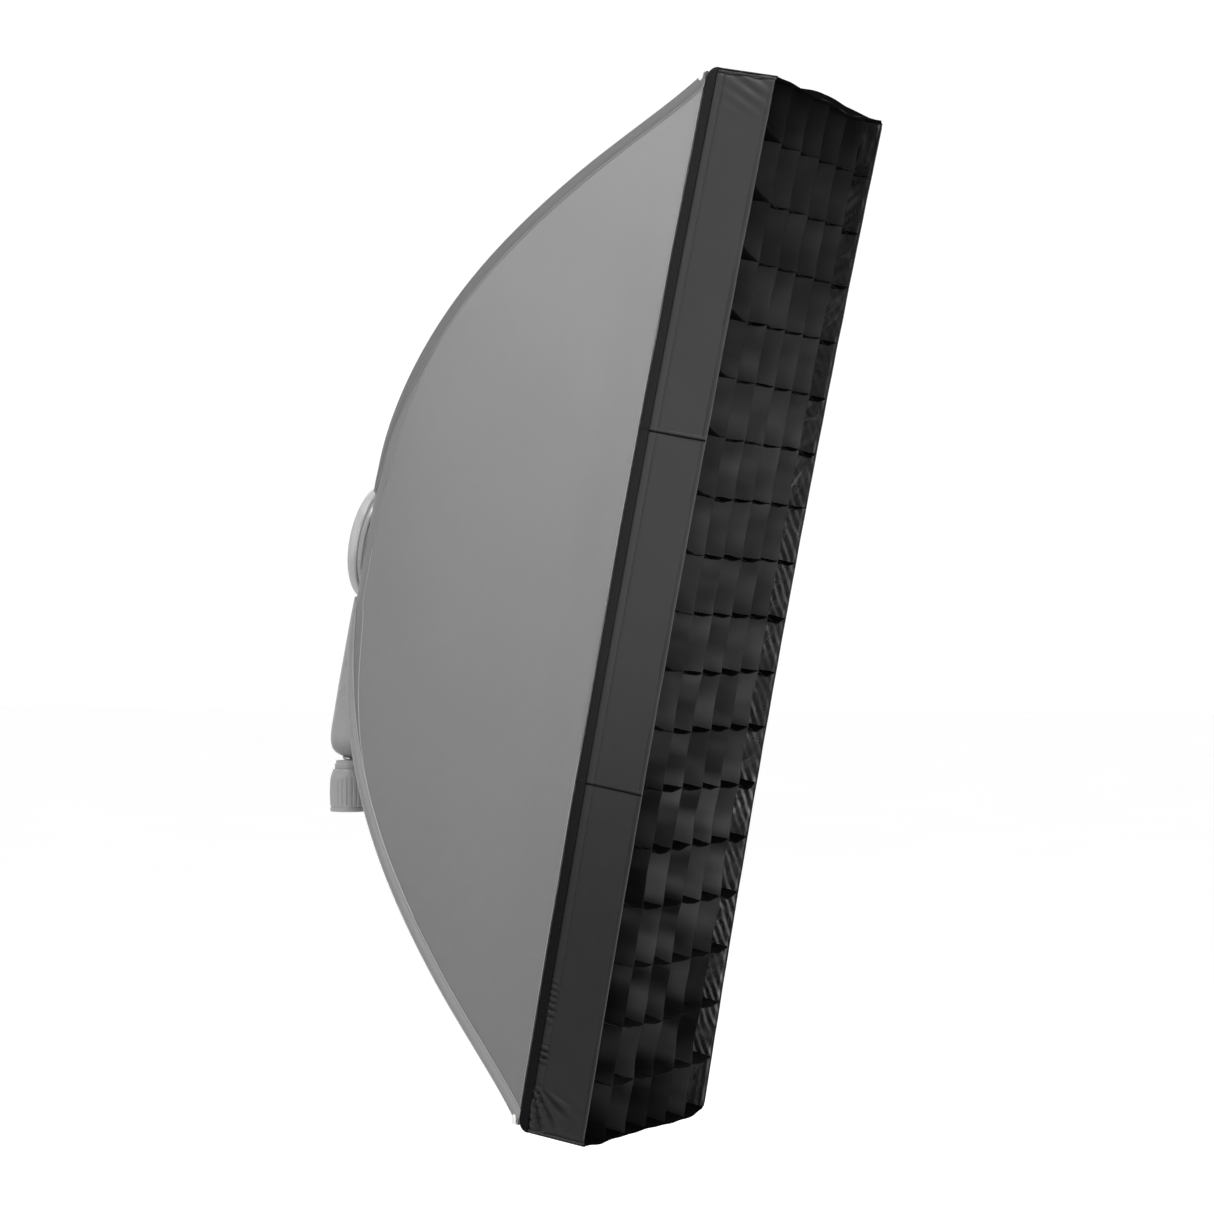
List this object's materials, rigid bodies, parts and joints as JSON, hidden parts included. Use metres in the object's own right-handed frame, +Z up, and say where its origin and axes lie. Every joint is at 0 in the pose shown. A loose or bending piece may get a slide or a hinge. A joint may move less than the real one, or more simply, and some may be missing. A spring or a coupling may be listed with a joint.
{
  "type": "strip softbox",
  "caption": "Long rectangular photo softbox on folding rods with two diffusers, a rotating hub, a slotted fabric egg-crate grid, and a handle on a tilting ball head with a stand socket.",
  "frame": {"origin": "centre of the flat seat at the top of the stand socket", "axes": "+Z up along the stand and the softbox's long side (pitched 10.5 degrees forward of it), +Y the way the light leaves, X across the width"},
  "size_m": [0.3016, 0.4668, 0.8982],
  "materials": {
    "shell_fabric": "matte coated nylon shell cloth",
    "pocket_fabric": "folded nylon webbing",
    "diffuser_cloth": "white translucent diffusion cloth",
    "skirt_fabric": "black polyester skirt cloth",
    "grid_fabric": "black satin-faced nylon strip",
    "hook_loop": "hook-and-loop tape",
    "spring_steel": "flexible steel rod, satin",
    "moulded_grey": "moulded grey nylon",
    "hub_grey": "light grey satin paint",
    "black_nylon": "glass-filled nylon",
    "bright_steel": "turned steel",
    "white_nylon": "natural nylon",
    "ring_metal": "dark anodised aluminium"
  },
  "bodies": {
    "stand_base": {"socket_body": "moulded_grey"},
    "collar": {"lock_collar": "moulded_grey"},
    "seat": {"ball_seat": "white_nylon"},
    "head": {"ball_stem": "bright_steel", "hub_arm": "moulded_grey", "arm_screw": "bright_steel", "hub_rear_cover": "hub_grey", "mount_ring": "bright_steel", "bearing_ring": "black_nylon"},
    "softbox": {"speedring": "ring_metal", "retainer_ring": "black_nylon", "rear_collar": "shell_fabric", "side_panel_left": "shell_fabric", "side_panel_right": "shell_fabric", "end_panel_top": "shell_fabric", "end_panel_bottom": "shell_fabric", "rim_band": "pocket_fabric", "front_diffuser": "diffuser_cloth", "inner_diffuser": "diffuser_cloth", "hinge_pin_lower_left": "bright_steel", "hinge_pin_lower_right": "bright_steel", "hinge_pin_upper_left": "bright_steel", "hinge_pin_upper_right": "bright_steel"},
    "grid": {"grid_binding": "hook_loop", "grid_long_1": "grid_fabric", "grid_long_2": "grid_fabric", "grid_long_3": "grid_fabric", "grid_long_4": "grid_fabric", "grid_long_5": "grid_fabric", "grid_short_01": "grid_fabric", "grid_short_02": "grid_fabric", "grid_short_03": "grid_fabric", "grid_short_04": "grid_fabric", "grid_short_05": "grid_fabric", "grid_short_06": "grid_fabric", "grid_short_07": "grid_fabric", "grid_short_08": "grid_fabric", "grid_short_09": "grid_fabric", "grid_short_10": "grid_fabric", "grid_short_11": "grid_fabric", "grid_short_12": "grid_fabric", "grid_short_13": "grid_fabric", "grid_short_14": "grid_fabric", "grid_short_15": "grid_fabric", "grid_short_16": "grid_fabric", "grid_short_17": "grid_fabric", "grid_skirt": "skirt_fabric"},
    "rod_body_upper_right": {"rod_upper_right": "spring_steel", "rod_socket_upper_right": "black_nylon", "rod_tip_upper_right": "white_nylon"},
    "rod_body_upper_left": {"rod_upper_left": "spring_steel", "rod_socket_upper_left": "black_nylon", "rod_tip_upper_left": "white_nylon"},
    "rod_body_lower_right": {"rod_lower_right": "spring_steel", "rod_socket_lower_right": "black_nylon", "rod_tip_lower_right": "white_nylon"},
    "rod_body_lower_left": {"rod_lower_left": "spring_steel", "rod_socket_lower_left": "black_nylon", "rod_tip_lower_left": "white_nylon"}
  },
  "joints": [
    {"name": "collar_turn", "type": "hinge", "parent": "stand_base", "child": "collar", "pos_m": [0, 0, 0], "axis": [0, 0, 1], "range_deg": [0, 120]},
    {"name": "head_pan", "type": "hinge", "parent": "stand_base", "child": "seat", "pos_m": [0, 0, 0.0105], "axis": [0, 0, 1], "continuous": true},
    {"name": "head_tilt", "type": "hinge", "parent": "seat", "child": "head", "pos_m": [0, 0, 0.0105], "axis": [1, 0, 0], "range_deg": [-8, 30]},
    {"name": "softbox_rotate", "type": "hinge", "parent": "head", "child": "softbox", "pos_m": [0, 0.03752, 0.20746], "axis": [0, 0.9833, -0.1822], "continuous": true},
    {"name": "rod_fold_upper_right", "type": "hinge", "parent": "softbox", "child": "rod_body_upper_right", "pos_m": [0.036, 0.06076, 0.25604], "axis": [-1, 0, 0], "range_deg": [0, 50], "deforming": ["end_panel_bottom", "end_panel_top", "front_diffuser", "grid_binding", "grid_long_1", "grid_long_2", "grid_long_3", "grid_long_4", "grid_long_5", "grid_short_01", "grid_short_02", "grid_short_03", "grid_short_04", "grid_short_05", "grid_short_06", "grid_short_07", "grid_short_08", "grid_short_09", "grid_short_10", "grid_short_11", "grid_short_12", "grid_short_13", "grid_short_14", "grid_short_15", "grid_short_16", "grid_short_17", "grid_skirt", "inner_diffuser", "rim_band", "side_panel_left", "side_panel_right"]},
    {"name": "rod_fold_upper_left", "type": "hinge", "parent": "softbox", "child": "rod_body_upper_left", "pos_m": [-0.036, 0.06076, 0.25604], "axis": [-1, 0, 0], "range_deg": [0, 50]},
    {"name": "rod_fold_lower_right", "type": "hinge", "parent": "softbox", "child": "rod_body_lower_right", "pos_m": [0.036, 0.04181, 0.15378], "axis": [1, 0, 0], "range_deg": [0, 50]},
    {"name": "rod_fold_lower_left", "type": "hinge", "parent": "softbox", "child": "rod_body_lower_left", "pos_m": [-0.036, 0.04181, 0.15378], "axis": [1, 0, 0], "range_deg": [0, 50]},
    {"name": "grid_slide", "type": "slide", "parent": "softbox", "child": "grid", "axis": [0, 0.9833, -0.1822], "range_m": [0, 0.12]}
  ],
  "couplings": [
    {"joint": "rod_fold_upper_left", "follows": "rod_fold_upper_right", "ratio": 1},
    {"joint": "rod_fold_lower_right", "follows": "rod_fold_upper_right", "ratio": 1},
    {"joint": "rod_fold_lower_left", "follows": "rod_fold_upper_right", "ratio": 1}
  ]
}
